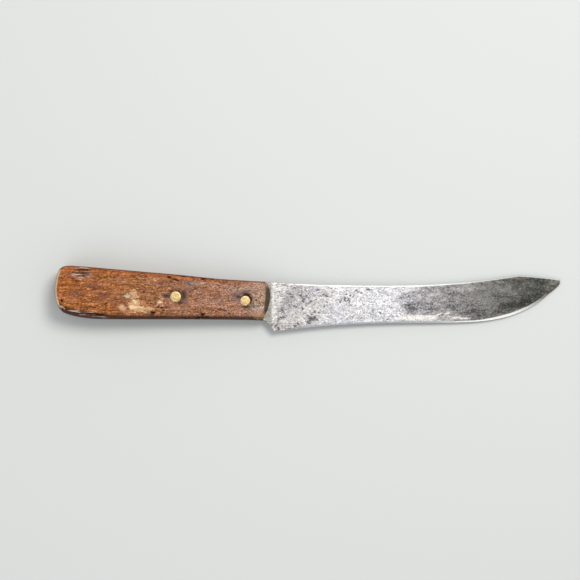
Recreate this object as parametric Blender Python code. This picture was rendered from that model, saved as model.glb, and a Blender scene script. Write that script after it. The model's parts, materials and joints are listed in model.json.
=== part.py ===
"""Butcher's knife: a flat-ground blade with a half tang, a saw-slotted wooden handle and two cutler's rivets.

The knife is drawn in its blade's own frame: x from the handle towards the tip, y towards the spine, z out of
the blade's side, and the zero point in the blade's middle plane where the handle ends. Every piece hangs on one
empty, which tips that frame so that the knife lies on its lower cheek and on its point, as it does on a table.
"""
import math

import bmesh
import bpy
import numpy as np
from mathutils import Vector
from mathutils.geometry import interpolate_bezier

MM = 0.001

# ---- driving dimensions, millimetres in the blade's frame ----
TILT_SLOPE = 0.031            # how fast the handle thickens towards the butt, each side
TANG_HALF = 1.2               # half the thickness of the tang and of the unground steel in front of it
GRIND_START = 6.6             # where the grind begins
GRIND_RAMP = 3.0              # length of the run-out between the unground steel and the grind
GRIND_TAPER = 0.0028          # thinning towards the tip, each side, per millimetre
GRIND_WEDGE = 0.0315          # thinning towards the edge, each side, per millimetre
SPINE_AT_HEEL = 10.6          # height at which the grind starts from the full thickness
EDGE_HALF = 0.06              # half the thickness left at the cutting edge
EDGE_BEVEL = 1.0              # width of the sharpened bevel

ROUNDING = 3.0                # width of the rounding between a cheek and the handle's sides
SIDE_SHARE = 0.36             # the flat of the handle's sides, as a share of the thickness
ROUNDING_RINGS = 5

SAW_RADIUS = 60.0             # the circular saw that cut the slot
SAW_HEIGHT = 2.8              # height of the saw's centre
SAW_SIDES = 128
SLOT_END = -75.0
SLOT_GAP = 0.25               # between the tang and each wall of the slot
TANG_END_GAP = 2.0            # between the tang's end and the slot's end
TANG_RECESS = 0.2             # the tang's edges lie this far inside the wood

RIVETS = {"front": (-11.2, -0.2), "rear": (-52.8, 1.9)}
HEAD_RADIUS = 3.3
HEAD_THICK = 1.5
HEAD_RECESS = 0.08            # the heads lie this far below the wood
BARREL_RADIUS = 2.15
BORE_RADIUS = 1.65
SHANK_RADIUS = 1.5
BARREL_STOP = 1.0             # the barrel ends this far short of the other head
SHANK_STOP = 1.5              # and the shank this far short of the bottom of the barrel
RIVET_GAP = 0.25
ROUND_SIDES = 32
CUTTER_SPARE = 1.0            # how far a drill stands out of the wood
FACE_BAND = 0.01              # what lies this close to a head's top is its face
SHARP_ANGLE = math.radians(35)

# ---- outlines: points on the curve, run by run, with a corner where two runs meet ----
HANDLE_BACK = [(0.1, 10.9), (-26, 12.5), (-50, 14.9), (-74, 17.0), (-98, 19.1), (-113, 20.3), (-118.6, 20.1),
               (-122.4, 16.6), (-124.0, 11), (-124.5, 5.4), (-123.2, -1.8), (-119, -7.5), (-110, -10.1),
               (-98, -11.3), (-50, -11.5), (-15, -11.8), (-1.2, -12.2)]
HANDLE_FRONT = [(-1.2, -12.2), (2.2, -5), (3.6, 2.4), (2.6, 8), (0.1, 10.9)]

TANG_TOP = [(-26, 12.5), (-50, 14.9)]
TANG_BOTTOM = [(-50, -11.5), (-26, -11.7)]
TANG_END = [(4, -11.3), (1, -9.5), (0, 3), (1, 13.5), (4, 16.2)]      # x here is measured from the tang's end
SPINE = [(0.1, 10.9), (21.5, 9.6), (45, 8.8), (69, 8.6), (93, 8.8), (114.5, 10.1), (129, 11.5), (152.1, 14.7)]
CLIP = [(152.1, 14.7), (161.7, 14.1), (176.6, 12.2)]
POINT = [(176.6, 12.2), (177.1, 10.3), (176.0, 8.4)]
EDGE = [(176.0, 8.4), (170, 3.4), (161.7, -3), (149.8, -8.5), (137.8, -11.6), (124, -13.1), (105, -13.6),
        (81, -13.7), (57, -14.3), (33.4, -15.7), (15.5, -17.5), (6.0, -18.4)]
CHOIL = [(6.0, -18.4), (3.6, -15.8), (1.2, -13.1), (-1.2, -12.3)]

WOOD = (0.36, 0.17, 0.085)
STEEL = (0.48, 0.48, 0.47)
BRASS = (0.72, 0.55, 0.28)


def grind_half(x, y):
    """Half the ground blade's thickness: a flat plane, thinner towards the tip and towards the edge."""
    return TANG_HALF - GRIND_TAPER * (x - GRIND_START) - GRIND_WEDGE * (SPINE_AT_HEEL - y)


def blade_half(x, y):
    """Half the steel's thickness: the full tang, the run-out, then the grind."""
    share = min(max((x - GRIND_START) / GRIND_RAMP, 0.0), 1.0)
    return TANG_HALF + share * (grind_half(x, y) - TANG_HALF)


TIP = CLIP[-1]
REST_HALF = grind_half(*TIP) + TILT_SLOPE * TIP[0]


def cheek_half(x):
    """Half the handle's thickness: a plane which, carried on, touches the blade's point."""
    return REST_HALF - TILT_SLOPE * x


def smooth_run(points, pieces=6):
    """A cubic curve through the points, without the last: each tangent runs along its neighbours' chord."""
    knots = np.array(points, float)
    before = np.vstack([2 * knots[0] - knots[1], knots[:-1]])
    after = np.vstack([knots[1:], 2 * knots[-1] - knots[-2]])
    chords = after - before
    tangents = chords / np.linalg.norm(chords, axis=1)[:, None]
    run = []
    for i in range(len(knots) - 1):
        reach = np.linalg.norm(knots[i + 1] - knots[i]) / 3
        ends = [knots[i], knots[i] + reach * tangents[i], knots[i + 1] - reach * tangents[i + 1], knots[i + 1]]
        run += interpolate_bezier(*[Vector(end) for end in ends], pieces + 1)[:-1]
    return [(point.x, point.y) for point in run]


def distance(vert, line):
    """How far a vertex lies, in plan, from a line of points."""
    start = np.array(line[:-1])
    run = np.array(line[1:]) - start
    away = np.array([vert.co.x, vert.co.y]) - start
    along = np.clip((away * run).sum(1) / (run * run).sum(1), 0, 1)[:, None]
    return float(np.hypot(*(away - along * run).T).min())


def material(name, colour, roughness, metallic):
    made = bpy.data.materials.new(name)
    made.use_nodes = True
    shader = made.node_tree.nodes["Principled BSDF"]
    shader.inputs["Base Color"].default_value = (*colour, 1.0)
    shader.inputs["Roughness"].default_value = roughness
    shader.inputs["Metallic"].default_value = metallic
    return made


def add_piece(name, build, frame, finish, place=(0.0, 0.0)):
    """Put a bmesh drawn in millimetres into the scene as one piece that hangs on the knife's frame."""
    bmesh.ops.scale(build, vec=(MM, MM, MM), verts=build.verts)
    bmesh.ops.recalc_face_normals(build, faces=build.faces)
    mesh = bpy.data.meshes.new(name)
    build.to_mesh(mesh)
    build.free()
    piece = bpy.data.objects.new(name, mesh)
    bpy.context.collection.objects.link(piece)
    piece.location = (place[0] * MM, place[1] * MM, 0.0)
    if finish:
        mesh.materials.append(finish)
        mesh.shade_smooth()
        mesh.set_sharp_from_angle(angle=SHARP_ANGLE)
    else:
        piece.hide_render = True
        piece.display_type = "WIRE"
    piece.parent = frame
    return piece


def outline_face(build, points):
    """A flat face round the points. Its normal is worked out at once, because an inset moves along it."""
    face = build.faces.new([build.verts.new((x, y, 0.0)) for x, y in points])
    face.normal_update()
    return face


def close_to_middle(build, height):
    """Lift a flat sheet to height(vertex), and drop a wall from its rim to the middle plane for the mirror."""
    rim = [edge for edge in build.edges if edge.is_boundary]
    heights = {vert: height(vert) for vert in build.verts}
    wall = bmesh.ops.extrude_edge_only(build, edges=rim)
    for vert in wall["geom"]:
        if isinstance(vert, bmesh.types.BMVert):
            vert.co.z = 0.0
    for vert, lift in heights.items():
        vert.co.z = lift
    bmesh.ops.triangulate(build, faces=build.faces)


def mirror(piece):
    change = piece.modifiers.new("far_side", "MIRROR")
    change.use_axis = (False, False, True)
    change.merge_threshold = 0.00001


def cut(piece, cutter):
    change = piece.modifiers.new(cutter.name, "BOOLEAN")
    change.operation = "DIFFERENCE"
    change.solver = "EXACT"
    change.object = cutter


# ---- cutters ----
def disc(radius, low, high, sides=ROUND_SIDES):
    """A cylinder round z from low to high."""
    build = bmesh.new()
    bmesh.ops.create_cone(build, cap_ends=True, segments=sides, radius1=radius, radius2=radius, depth=high - low)
    bmesh.ops.translate(build, vec=(0, 0, (high + low) / 2), verts=build.verts)
    return build


def saw_cutter(frame):
    """The saw blade itself: it enters from the front and leaves a slot with a round blind end."""
    half = TANG_HALF + SLOT_GAP
    place = (SLOT_END + SAW_RADIUS, SAW_HEIGHT)
    return add_piece("saw_cutter", disc(SAW_RADIUS, -half, half, SAW_SIDES), frame, None, place)


def rivet_cutters(end, frame):
    """The drill for the barrel, and one counterbore for each head."""
    place = RIVETS[end]
    outside = cheek_half(place[0]) + CUTTER_SPARE
    seat = head_seat(place) - RIVET_GAP
    radius = HEAD_RADIUS + RIVET_GAP
    drill = add_piece(end + "_drill", disc(BARREL_RADIUS + RIVET_GAP, -outside, outside), frame, None, place)
    upper = add_piece(end + "_upper_bore", disc(radius, seat, outside), frame, None, place)
    lower = add_piece(end + "_lower_bore", disc(radius, -outside, -seat), frame, None, place)
    return drill, upper, lower


# ---- pieces ----
def blade(frame, drills):
    """Blade and tang: one outline, lifted to the steel's half thickness and mirrored."""
    tang = [(x, y - TANG_RECESS) for x, y in TANG_TOP]
    belly = [(x, y + TANG_RECESS) for x, y in TANG_BOTTOM]
    tang_end = [(SLOT_END + TANG_END_GAP + x, y) for x, y in TANG_END]
    back = tang[::-1] + SPINE
    front = CHOIL + belly[::-1]
    sharp = smooth_run(EDGE)
    points = smooth_run(back) + smooth_run(CLIP, 3) + smooth_run(POINT, 2) + sharp + smooth_run(front)
    points += tang_end

    build = bmesh.new()
    face = outline_face(build, points)
    bmesh.ops.inset_region(build, faces=[face], thickness=EDGE_BEVEL, use_boundary=True, use_even_offset=True)
    for x in (GRIND_START, GRIND_START + GRIND_RAMP):
        sheet = list(build.verts) + list(build.edges) + list(build.faces)
        bmesh.ops.bisect_plane(build, geom=sheet, plane_co=(x, 0, 0), plane_no=(1, 0, 0))

    def height(vert):
        on_edge = distance(vert, sharp) < EDGE_BEVEL / 2
        return EDGE_HALF if on_edge else blade_half(vert.co.x, vert.co.y)

    close_to_middle(build, height)
    piece = add_piece("blade", build, frame, material("blade_steel", STEEL, 0.45, 0.9))
    mirror(piece)
    for drill in drills:
        cut(piece, drill)
    return piece


def handle(frame, cutters):
    """Wooden handle: the outline lifted in rings, round at the sides and butt and straight at the front."""
    back = smooth_run(HANDLE_BACK) + HANDLE_BACK[-1:]
    front = smooth_run(HANDLE_FRONT, 4) + HANDLE_FRONT[-1:]
    build = bmesh.new()
    face = outline_face(build, back[:-1] + front[:-1])
    angles = np.linspace(0, math.pi / 2, ROUNDING_RINGS + 1)
    insets = ROUNDING * (1 - np.cos(angles))
    for outer, inner in zip(insets[:-1], insets[1:]):
        width = inner - outer
        bmesh.ops.inset_region(build, faces=[face], thickness=width, use_boundary=True, use_even_offset=True)

    def height(vert):
        full = cheek_half(vert.co.x)
        low = full * SIDE_SHARE
        side = min(distance(vert, back) / ROUNDING, 1.0)
        end = min(distance(vert, front) / ROUNDING, 1.0)
        return low + (full - low) * min(end, math.sqrt(1 - (1 - side) ** 2))

    close_to_middle(build, height)
    piece = add_piece("handle", build, frame, material("handle_wood", WOOD, 0.7, 0.0))
    mirror(piece)
    for cutter in cutters:
        cut(piece, cutter)
    return piece


def head_seat(place):
    """Height of a rivet head's underside over the middle plane."""
    return cheek_half(place[0]) - HEAD_THICK - HEAD_RECESS


def turned(profile, place, side):
    """Spin a profile of (radius, height) round z, then grind the head flush with its slanting cheek."""
    build = bmesh.new()
    verts = [build.verts.new((radius, 0, side * height)) for radius, height in profile]
    lines = [build.edges.new(pair) for pair in zip(verts, verts[1:])]
    bmesh.ops.spin(build, geom=verts + lines, cent=(0, 0, 0), axis=(0, 0, 1), angle=math.tau, steps=ROUND_SIDES)
    bmesh.ops.remove_doubles(build, verts=build.verts, dist=0.001)
    top = profile[0][1] - FACE_BAND
    for vert in build.verts:
        if side * vert.co.z > top:
            vert.co.z = side * (cheek_half(place[0] + vert.co.x) - HEAD_RECESS)
    return build


def rivet(end, frame, finish):
    """A cutler's rivet: a tube with a head from one side and a shank with a head from the other."""
    place = RIVETS[end]
    face = cheek_half(place[0]) - HEAD_RECESS
    seat = head_seat(place)
    barrel_end = BARREL_STOP - seat
    shank_end = SHANK_STOP - seat
    head = [(0, face), (HEAD_RADIUS, face), (HEAD_RADIUS, seat)]
    female = head + [(BARREL_RADIUS, seat), (BARREL_RADIUS, barrel_end), (BORE_RADIUS, barrel_end),
                     (BORE_RADIUS, seat), (0, seat)]
    male = head + [(SHANK_RADIUS, seat), (SHANK_RADIUS, shank_end), (0, shank_end)]
    add_piece(end + "_rivet_female", turned(female, place, 1), frame, finish, place)
    add_piece(end + "_rivet_male", turned(male, place, -1), frame, finish, place)


def knife_frame():
    """The empty that lays the knife down: its middle over the zero point, its lower cheek on the ground."""
    tilt = math.atan(TILT_SLOPE)
    outline = np.array(smooth_run(HANDLE_BACK) + smooth_run(POINT) + CHOIL)
    back, low = outline.min(axis=0)
    tip, high = outline.max(axis=0)
    butt = (back, -cheek_half(back) * SIDE_SHARE)
    point = (tip, grind_half(tip, TIP[1]))
    reach = [x * math.cos(tilt) + z * math.sin(tilt) for x, z in (butt, point)]
    frame = bpy.data.objects.new("knife", None)
    bpy.context.collection.objects.link(frame)
    frame.rotation_euler = (0.0, tilt, 0.0)
    frame.location = Vector((-sum(reach) / 2, -(low + high) / 2, REST_HALF * math.cos(tilt))) * MM
    return frame


def main():
    for old in list(bpy.data.objects):
        bpy.data.objects.remove(old)
    frame = knife_frame()
    brass = material("rivet_brass", BRASS, 0.4, 1.0)
    cutters = [saw_cutter(frame)]
    drills = []
    for end in RIVETS:
        drill, upper, lower = rivet_cutters(end, frame)
        drills.append(drill)
        cutters += [drill, upper, lower]
        rivet(end, frame, brass)
    blade(frame, drills)
    handle(frame, cutters)


main()
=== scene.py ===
# %% [markdown]
# # An old butcher's knife
#
# The knife is a carbon steel blade whose flat tang sits in a saw slot in a one-piece hardwood handle. Two
# cutler's rivets hold it. The packed model gives the true sizes and places. This script gives the knife its
# skin: the same outlines on a fine grid, with the rounding, the sharpened bevel, the splits and the hammered
# rivet heads, and three finishes made of shader nodes.

# %% Open the packed model
import json
import math
from types import SimpleNamespace

import bmesh
import bpy
import numpy as np
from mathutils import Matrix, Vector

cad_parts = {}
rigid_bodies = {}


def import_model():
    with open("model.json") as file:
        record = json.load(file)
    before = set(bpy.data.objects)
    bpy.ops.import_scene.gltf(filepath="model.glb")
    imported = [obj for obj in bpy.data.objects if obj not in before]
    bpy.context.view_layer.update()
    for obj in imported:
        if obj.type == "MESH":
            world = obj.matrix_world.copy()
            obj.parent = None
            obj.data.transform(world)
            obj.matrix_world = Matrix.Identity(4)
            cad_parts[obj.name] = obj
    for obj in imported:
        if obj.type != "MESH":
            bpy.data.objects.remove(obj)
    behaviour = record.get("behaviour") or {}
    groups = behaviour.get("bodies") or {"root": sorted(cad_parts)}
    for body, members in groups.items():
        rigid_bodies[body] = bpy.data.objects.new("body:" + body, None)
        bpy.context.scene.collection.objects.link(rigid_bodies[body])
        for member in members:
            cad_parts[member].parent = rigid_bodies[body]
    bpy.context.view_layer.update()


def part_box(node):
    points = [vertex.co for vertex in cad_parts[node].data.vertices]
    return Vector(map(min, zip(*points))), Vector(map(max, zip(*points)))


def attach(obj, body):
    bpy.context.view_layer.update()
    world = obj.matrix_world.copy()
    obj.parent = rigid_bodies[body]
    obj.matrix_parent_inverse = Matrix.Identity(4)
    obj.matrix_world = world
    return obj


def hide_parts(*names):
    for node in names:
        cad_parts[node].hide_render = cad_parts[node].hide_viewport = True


for start_up_object in list(bpy.data.objects):
    bpy.data.objects.remove(start_up_object)
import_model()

# %% [markdown]
# ## The knife's own directions
#
# A cutler draws a knife flat: x from the handle towards the point, y towards the spine, and z out of the
# side of the blade, with the zero point where the wood ends. On the table the knife lies on one cheek and
# on its point, so that drawing is tipped by less than two degrees. It could be modelled in table directions
# straight away, but then nothing on the knife would be level or symmetric. So everything below is drawn in
# millimetres in the knife's directions, and one function lays it down. The shift comes from the packed
# blade's box.

# %% Lay the drawing on the table
MM = 0.001
SLOPE = 0.031                 # how fast the handle thickens towards the butt, each side
TILT = math.atan(SLOPE)
POINT_X, HEEL_Y = 177.1, -18.4          # where the blade ends, and its lowest corner
REST_HALF = 6.249             # half the handle's thickness where the wood ends
blade_low, blade_high = [np.array(corner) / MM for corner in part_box("blade")]
ZERO = np.array([blade_high[0] - POINT_X * math.cos(TILT), blade_low[1] - HEEL_Y,
                 REST_HALF * math.cos(TILT)])


def lay_down(points):
    """Turn drawn points by the tilt about y, shift them, and change millimetres into metres."""
    x, y, z = np.moveaxis(points, -1, 0)
    turned = [x * math.cos(TILT) + z * math.sin(TILT), y, z * math.cos(TILT) - x * math.sin(TILT)]
    return (np.stack(turned, axis=-1) + ZERO) * MM


print("the drawing's zero point lies at", ZERO.round(2), "mm")

# %% [markdown]
# ## Outlines
#
# Both outlines are smooth runs with a few real corners: where the wood ends, at the heel, and where the
# clipped tip starts. A run could be a Bezier curve object, but a formula gives whole arrays of points at
# once. Each stretch between two points is a cubic whose end directions follow the neighbouring points.

# %% The two outlines
HANDLE_BACK = [(0.1, 10.9), (-26, 12.5), (-50, 14.9), (-74, 17.0), (-98, 19.1), (-113, 20.3),
               (-118.6, 20.1), (-120.9, 18.8), (-122.4, 16.6), (-124.0, 11), (-124.5, 5.4), (-123.2, -1.8),
               (-121.4, -5.0), (-119, -7.5), (-110, -10.1), (-98, -11.3), (-50, -11.5), (-15, -11.8),
               (-1.2, -12.2)]
HANDLE_FRONT = [(-1.2, -12.2), (2.2, -5), (3.6, 2.4), (2.6, 8), (0.1, 10.9)]
SPINE_RUNS = [[(-73, 6), (-72, 13.5), (-69, 16.2), (-50, 14.7), (-26, 12.3), (0.1, 10.9), (21.5, 9.6),
               (45, 8.8), (69, 8.6), (93, 8.8), (114.5, 10.1), (129, 11.5), (152.1, 14.7)],
              [(152.1, 14.7), (161.7, 14.1), (176.4, 12.3), (176.9, 11.7), (177.1, 10.8)]]
EDGE_RUNS = [[(-73, 0), (-72, -9.5), (-69, -11.3), (-50, -11.3), (-26, -11.5), (-1.2, -12.3), (1.2, -13.1),
              (3.6, -15.8), (6.0, -18.4)],
             [(6.0, -18.4), (15.5, -17.5), (33.4, -15.7), (57, -14.3), (81, -13.7), (105, -13.6),
              (124, -13.1), (137.8, -11.6), (149.8, -8.5), (161.7, -3), (170, 3.4), (176.0, 8.4),
              (177.1, 10.3)]]


def hermite(knots, slopes, lengths, i, share):
    """The cubic between knot i and i + 1 at a share of its length, from its end points and end slopes."""
    a, b = knots[i], knots[i + 1]
    reach = lengths[i]
    p, q = slopes[i] * reach, slopes[i + 1] * reach
    s = share
    left = a * (1 + 2 * s) * (1 - s) ** 2 + p * s * (1 - s) ** 2
    return left + b * s * s * (3 - 2 * s) - q * s * s * (1 - s)


def height_along(runs, x):
    """The outline's y at each x: a cubic through each run, with the slope of the neighbours' chord."""
    y = np.zeros_like(x)
    for run in runs:
        px, py = np.array(run, float).T
        ends = np.pad(np.arange(len(px)), 1, mode="edge")
        slopes = (py[ends[2:]] - py[ends[:-2]]) / (px[ends[2:]] - px[ends[:-2]])
        i = np.clip(np.searchsorted(px, x, side="right") - 1, 0, len(px) - 2)
        share = (x - px[i]) / (px[i + 1] - px[i])
        inside = (x >= px[0]) & (x <= px[-1])
        y = np.where(inside, hermite(py, slopes, np.diff(px), i, share), y)
    return y


def stretch(points, first, last, share):
    """Points at a share of the way from one knot of a curve to another, measured along its chords."""
    knots = np.array(points, float)
    ends = np.pad(np.arange(len(knots)), 1, mode="edge")
    chords = knots[ends[2:]] - knots[ends[:-2]]
    slopes = chords / np.linalg.norm(chords, axis=1)[:, None]
    lengths = np.linalg.norm(np.diff(knots, axis=0), axis=1)
    way = np.concatenate([[0], np.cumsum(lengths)])
    s = way[first] + share * (way[last] - way[first])
    i = np.clip(np.searchsorted(way, s, side="right") - 1, 0, len(knots) - 2)
    part = ((s - way[i]) / lengths[i])[:, None]
    return hermite(knots, slopes, lengths[:, None], i, part)


heel_spine, heel_edge = [height_along(runs, np.array([7.0]))[0] for runs in (SPINE_RUNS, EDGE_RUNS)]
print("blade depth at the heel:", round(float(heel_spine - heel_edge), 1), "mm")

# %% [markdown]
# ## From arrays to meshes
#
# Blade and handle are both a pair of sheets: one grid of plan points, a height above the middle plane for
# the side that shows and one below it for the far side, and a narrow wall that joins the two rims. That
# keeps the silhouette exact, and any wear is a change of height. A turned part is a profile carried round
# its axis.

# %% Sheets into a closed piece
def make_piece(name, points, faces):
    """Lay points down and put them, with their faces, into a new smooth-shaded object at the world's zero."""
    mesh = bpy.data.meshes.new(name)
    mesh.from_pydata(lay_down(points).tolist(), [], faces)
    mesh.update()
    mesh.shade_smooth()
    piece = bpy.data.objects.new(name, mesh)
    bpy.context.collection.objects.link(piece)
    return piece


def pair_of_sheets(name, x, y, upper, lower):
    """Close two height grids over one plan grid: upper faces, lower faces turned round, and a rim wall."""
    rows, columns = x.shape
    index = np.arange(rows * columns).reshape(rows, columns)
    quads = np.stack([index[:-1, :-1], index[1:, :-1], index[1:, 1:], index[:-1, 1:]], axis=-1).reshape(-1, 4)
    rim = np.concatenate([index[:, 0], index[-1, 1:], index[-2::-1, -1], index[0, -2:0:-1]])
    after = np.roll(rim, -1)
    count = rows * columns
    wall = np.stack([rim + count, after + count, after, rim], axis=-1)
    points = np.concatenate([np.stack([x, y, z], axis=-1).reshape(-1, 3) for z in (upper, lower)])
    faces = np.concatenate([quads, quads[:, ::-1] + count, wall])
    return make_piece(name, points, faces.tolist())


# %% A turned piece
def turned(name, profile, place, relief, sides=64):
    """Carry a profile of (radius, height) round z. The first and last points lie on the axis, as poles.

    A ring's point at angle a is (radius cos a, radius sin a) from the place. The relief rule may change its
    height."""
    radius, height = np.array(profile[1:-1], float).T
    angle = np.arange(sides) * math.tau / sides
    ring_x = place[0] + np.outer(radius, np.cos(angle))
    ring_y = place[1] + np.outer(radius, np.sin(angle))
    ring_z = relief(ring_x, ring_y, height[:, None] + 0 * ring_x)
    pole_x, pole_y = np.full((1, 2), place[0]), np.full((1, 2), place[1])
    pole_z = relief(pole_x, pole_y, np.array([[profile[0][1], profile[-1][1]]]))
    rings = np.stack([ring_x, ring_y, ring_z], axis=-1).reshape(-1, 3)
    poles = np.stack([pole_x, pole_y, pole_z], axis=-1).reshape(-1, 3)
    index = np.arange(len(radius) * sides).reshape(len(radius), sides)
    after = np.roll(index, -1, axis=1)
    quads = np.stack([index[:-1], index[1:], after[1:], after[:-1]], axis=-1).reshape(-1, 4)
    first, last = np.full(sides, index.size), np.full(sides, index.size + 1)
    fans = np.concatenate([np.stack([first, index[0], after[0]], axis=-1),
                           np.stack([last, after[-1], index[-1]], axis=-1)])
    return make_piece(name, np.concatenate([rings, poles]), quads.tolist() + fans.tolist())


# %% [markdown]
# ## Relief
#
# Old wood and old steel are never quite flat. The unevenness could come from a displacement texture, but
# then the flat resting cheek could not be protected. Here it is a height worked out with numpy: random
# values on a coarse lattice, eased into each other, and stretched along the grain.

# %% Smooth random relief
LATTICE = (97, 89)            # random values each way before the relief repeats
CELLS_AHEAD = 1000            # added to every place, so that its cell's number is never negative


def relief_noise(x, y, size_x, size_y, seed):
    """Random numbers between -1 and 1 on a lattice of the given cell size, eased across each cell."""
    values = np.random.default_rng(seed).uniform(-1, 1, LATTICE)
    cx, cy = x / size_x + CELLS_AHEAD, y / size_y + CELLS_AHEAD
    i, j = np.floor(cx).astype(int), np.floor(cy).astype(int)
    s, t = [share * share * (3 - 2 * share) for share in (cx - i, cy - j)]
    corner = [values[(i + a) % LATTICE[0], (j + b) % LATTICE[1]] for a in (0, 1) for b in (0, 1)]
    near = corner[0] * (1 - t) + corner[1] * t
    far = corner[2] * (1 - t) + corner[3] * t
    return near * (1 - s) + far * s


def ramp(value, low, high):
    """0 below low, 1 above high, and eased in between."""
    share = np.clip((value - low) / (high - low), 0, 1)
    return share * share * (3 - 2 * share)


def way_out(x, y, ellipse):
    """How far out each point lies in an ellipse, from 0 in its middle to 1 on its outline.

    The ellipse is x, y, half length, half width and, unless it lies straight, its turn in degrees."""
    middle_x, middle_y, half_length, half_width, *turn = ellipse
    angle = math.radians(sum(turn))
    c, s = math.cos(angle), math.sin(angle)
    dx, dy = x - middle_x, y - middle_y
    return np.hypot((dx * c + dy * s) / half_length, (dy * c - dx * s) / half_width)


def blots(x, y, ellipses, inner, outer, ragged, seed):
    """1 inside any ellipse, 0 outside, eased from inner to outer, which are shares of its size.

    The points are first pushed about by two sizes of relief noise, up to ragged millimetres, so that the
    outlines are torn."""
    push = [0.65 * relief_noise(x, y, 3.4, 1.9, seed + k) + 0.35 * relief_noise(x, y, 1.2, 0.8, seed + 2 + k)
            for k in (0, 1)]
    px, py = x + ragged * push[0], y + 0.6 * ragged * push[1]
    nearest = np.minimum.reduce([way_out(px, py, ellipse) for ellipse in ellipses])
    return 1 - ramp(nearest, inner, outer)


sample = relief_noise(np.linspace(0, 50, 200), np.zeros(200), 1, 1, 1)
print("50 mm of relief runs from", sample.min().round(2), "to", sample.max().round(2))

# %% [markdown]
# ## The blade
#
# The blade is ground flat from just in front of the heel, so it thins evenly from spine to edge and from
# heel to point, and a narrow bevel is whetted along the edge. A solid block and cutting planes would do for
# that, and the packed model is made so. The skin needs more: a spine whose corners are worn round, a bevel
# that is wider towards the point, and a surface that years of scouring have left slightly wavy.

# %% Blade surface
TANG_HALF, EDGE_HALF = 1.2, 0.06        # half the thickness of the tang and of the sharp edge
TANG_START = -73
GRIND_START, GRIND_RAMP = 6.6, 3.0
GRIND_TAPER, GRIND_WEDGE, SPINE_AT_HEEL = 0.0028, 0.0315, 10.6
SPINE_WEAR = 0.55             # rounding of the spine's corners
NICK_DEPTH = 0.10


def steel_half(x, y):
    """Half the steel's thickness: flat tang, a short run-out, then a plane that falls to edge and point."""
    ground = TANG_HALF - GRIND_TAPER * (x - GRIND_START) - GRIND_WEDGE * (SPINE_AT_HEEL - y)
    return TANG_HALF + ramp(x, GRIND_START, GRIND_START + GRIND_RAMP) * (ground - TANG_HALF)


def blade_grid():
    """Stations along the blade, closest at the choil and the point, times shares from edge to spine."""
    corners = [0.1, 6.0, 152.1]
    stations = [np.arange(TANG_START, -1.2, 1.5), np.arange(-1.2, 10, 0.2), np.arange(10, 176, 0.5),
                np.linspace(176, POINT_X, 10), corners]
    x = np.unique(np.concatenate(stations).round(4))
    share = (1 - np.cos(np.linspace(0, math.pi, 94))) / 2
    low, high = height_along(EDGE_RUNS, x), height_along(SPINE_RUNS, x)
    nick = NICK_DEPTH * relief_noise(x, 0 * x, 2.3, 1, 5) ** 3 * ramp(x, 8, 14)
    low = low + np.abs(nick)
    lean = [np.cos(np.arctan(np.gradient(line, x))) for line in (low, high)]
    y = low[:, None] + (high - low)[:, None] * share
    to_edge, to_spine = (y - low[:, None]) * lean[0][:, None], (high[:, None] - y) * lean[1][:, None]
    return x[:, None] + 0 * y, y, to_edge, to_spine


def blade_height(x, y, to_edge, to_spine, seed):
    """Half the thickness with a slight wave, a quarter round at the spine, and a bevel at the edge."""
    half = steel_half(x, y)
    wave = 0.02 * relief_noise(x, y, 14, 9, seed) + 0.012 * relief_noise(x, y, 3.1, 2.3, seed + 1)
    half = half + wave * ramp(x, 2, 9) * ramp(to_edge, 0.5, 3)
    round_off = np.sqrt(1 - (1 - np.clip(to_spine / SPINE_WEAR, 0, 1)) ** 2)
    half = half * (0.35 + 0.65 * round_off)
    bevel = 0.9 + 0.9 * ramp(x, 120, 165) + 0.12 * relief_noise(x, 0 * x, 9, 1, seed + 2)
    whetted = ramp(x, 8, 16)
    bevel = bevel * whetted + 0.35 * (1 - whetted)
    start = np.minimum(half, EDGE_HALF + (0.5 * TANG_HALF - EDGE_HALF) * (1 - whetted))
    return start + (half - start) * np.clip(to_edge / bevel, 0, 1)


along_blade = np.array([10.0, 170.0])
print("half the steel's thickness at", along_blade, "mm:", steel_half(along_blade, 8.0).round(2), "mm")

# %% [markdown]
# ## Drilling, and numbers for the finish
#
# A hole could be left in the grid from the start, but then every row would have to bend round it. A Boolean
# cuts it cleanly instead. A finish has to know how far the edge or a side is, so such distances are stored
# in the mesh, one for each vertex.

# %% Cutters and stored numbers
SEAM_GAP = 2e-7               # in metres: points this close are one point
DRILL_RADIUS = 2.4
RIVETS = {"front": (-11.2, -0.2), "rear": (-52.8, 1.9)}


def bored(piece, cutters):
    """Cut the cutters out of a piece, close the seams where cuts meet, and remove the cutters."""
    for cutter in cutters:
        change = piece.modifiers.new(cutter.name, "BOOLEAN")
        change.object = cutter
        change.solver = "EXACT"
    whole = piece.data
    cut_mesh = bpy.data.meshes.new_from_object(piece.evaluated_get(bpy.context.evaluated_depsgraph_get()))
    piece.modifiers.clear()
    piece.data = cut_mesh
    bpy.data.meshes.remove(whole)
    cut_mesh.name = piece.name
    seams = bmesh.new()
    seams.from_mesh(cut_mesh)
    bmesh.ops.remove_doubles(seams, verts=seams.verts, dist=SEAM_GAP)
    seams.to_mesh(cut_mesh)
    seams.free()
    for cutter in cutters:
        bpy.data.objects.remove(cutter)
    return piece


def drawn(piece):
    """The x, y and z of a piece's vertices, back in the drawing's millimetres."""
    flat = np.empty(len(piece.data.vertices) * 3)
    piece.data.vertices.foreach_get("co", flat)
    x, y, z = (flat.reshape(-1, 3) / MM - ZERO).T
    return x * math.cos(TILT) - z * math.sin(TILT), y, x * math.sin(TILT) + z * math.cos(TILT)


def remember(piece, name, values):
    """Store one number for each vertex, for a finish that follows the shape."""
    piece.data.attributes.new(name, "FLOAT", "POINT").data.foreach_set("value", values.astype(np.float32))


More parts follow.
